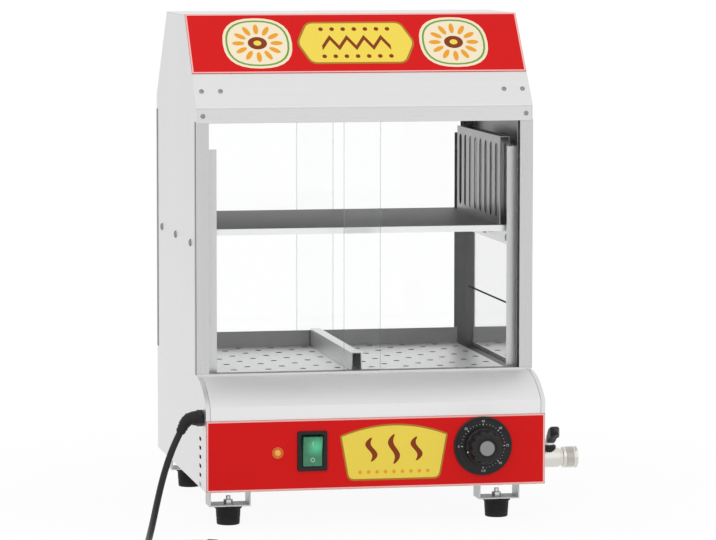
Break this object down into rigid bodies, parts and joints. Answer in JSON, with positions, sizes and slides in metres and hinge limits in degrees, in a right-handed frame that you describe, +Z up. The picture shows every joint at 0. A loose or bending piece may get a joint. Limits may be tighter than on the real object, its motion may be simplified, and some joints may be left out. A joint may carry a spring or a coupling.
{
  "type": "hot dog steamer",
  "caption": "Tabletop steel steamer cabinet with sliding glass doors over a water pan, perforated steam tray, bun shelf, drain valve, thermostat dial and lit switch.",
  "frame": {"origin": "on the table, under the middle of the steamer's box, drain valve and knob included, mains lead left out", "axes": "+Z up, +X to the right seen from the control panel, +Y from the control panel to the back"},
  "size_m": [0.515, 0.6869, 0.5277],
  "materials": {
    "stainless": "satin brushed stainless sheet",
    "galvanised_steel": "dull zinc-coated sheet",
    "fasteners": "bright zinc",
    "red_plate": "gloss printed sheet",
    "pane_glass": "clear, ground edges",
    "foot_rubber": "matt",
    "black_plastic": "fine satin",
    "green_lens": "translucent",
    "amber_lens": "translucent",
    "cap_aluminium": "spun",
    "heater_sheath": "heat-darkened",
    "thermostat_case": "plain",
    "plated_brass": "nickel plated",
    "black_flex": "satin"
  },
  "bodies": {
    "cabinet": {"base_floor": "galvanised_steel", "base_rear_panel": "stainless", "base_side_left": "stainless", "base_side_right": "stainless", "bun_fence": "stainless", "bun_shelf": "stainless", "cabinet_rivets": "fasteners", "cabinet_side_left": "stainless", "cabinet_side_right": "stainless", "control_panel": "red_plate", "cord_coil": "black_flex", "cord_gland": "black_flex", "dial_bezel": "black_plastic", "drain_elbow": "plated_brass", "duct_liner_left": "stainless", "duct_liner_right": "stainless", "foot_bolts": "fasteners", "foot_brackets": "galvanised_steel", "front_apron": "stainless", "front_bottom_track": "stainless", "front_cheek_left": "stainless", "front_cheek_right": "stainless", "front_stile_left": "stainless", "front_stile_right": "stainless", "front_top_track": "stainless", "header_sign": "red_plate", "heating_element": "heater_sheath", "lamp_body": "black_plastic", "lamp_lens": "amber_lens", "plug_lead": "black_flex", "power_cord": "black_flex", "power_plug": "black_flex", "rear_bottom_track": "stainless", "rear_stile_left": "stainless", "rear_stile_right": "stainless", "rear_top_track": "stainless", "roof_shell": "stainless", "rubber_foot_front_left": "foot_rubber", "rubber_foot_front_right": "foot_rubber", "rubber_foot_rear_left": "foot_rubber", "rubber_foot_rear_right": "foot_rubber", "shelf_screws": "fasteners", "shelf_spacers": "fasteners", "switch_body": "black_plastic", "thermostat": "thermostat_case", "valve_body": "plated_brass", "water_pan": "stainless"},
    "front_pane_right": {"front_pane_right": "pane_glass"},
    "front_pane_left": {"front_pane_left": "pane_glass"},
    "rear_pane_right": {"rear_pane_right": "pane_glass"},
    "rear_pane_left": {"rear_pane_left": "pane_glass"},
    "switch_rocker": {"switch_rocker": "green_lens"},
    "thermostat_dial": {"thermostat_shaft": "thermostat_case", "thermostat_knob": "black_plastic", "knob_cap": "cap_aluminium"},
    "drain_lever": {"valve_ball": "plated_brass", "valve_lever": "black_plastic"},
    "tray": {"steam_tray": "stainless", "tray_flanges": "stainless"},
    "divider": {"tray_divider": "stainless"}
  },
  "joints": [
    {"name": "front_right_pane_slide", "type": "slide", "parent": "cabinet", "child": "front_pane_right", "axis": [-1, 0, 0], "range_m": [0, 0.154]},
    {"name": "front_left_pane_slide", "type": "slide", "parent": "cabinet", "child": "front_pane_left", "axis": [1, 0, 0], "range_m": [0, 0.158]},
    {"name": "rear_right_pane_slide", "type": "slide", "parent": "cabinet", "child": "rear_pane_right", "axis": [-1, 0, 0], "range_m": [0, 0.154]},
    {"name": "rear_left_pane_slide", "type": "slide", "parent": "cabinet", "child": "rear_pane_left", "axis": [1, 0, 0], "range_m": [0, 0.158]},
    {"name": "switch_press", "type": "hinge", "parent": "cabinet", "child": "switch_rocker", "pos_m": [-0.0965, -0.16245, 0.0786], "axis": [1, 0, 0], "range_deg": [0, 14]},
    {"name": "thermostat_turn", "type": "hinge", "parent": "cabinet", "child": "thermostat_dial", "pos_m": [0.0848, -0.17245, 0.0794], "axis": [0, -1, 0], "range_deg": [0, 270]},
    {"name": "drain_turn", "type": "hinge", "parent": "cabinet", "child": "drain_lever", "pos_m": [0.179, -0.06745, 0.066], "axis": [0, 0, 1], "range_deg": [0, 90]},
    {"name": "tray_lift", "type": "slide", "parent": "cabinet", "child": "tray", "axis": [0, 0, 1], "range_m": [0, 0.06]},
    {"name": "divider_lift", "type": "slide", "parent": "tray", "child": "divider", "axis": [0, 0, 1], "range_m": [0, 0.05]}
  ]
}
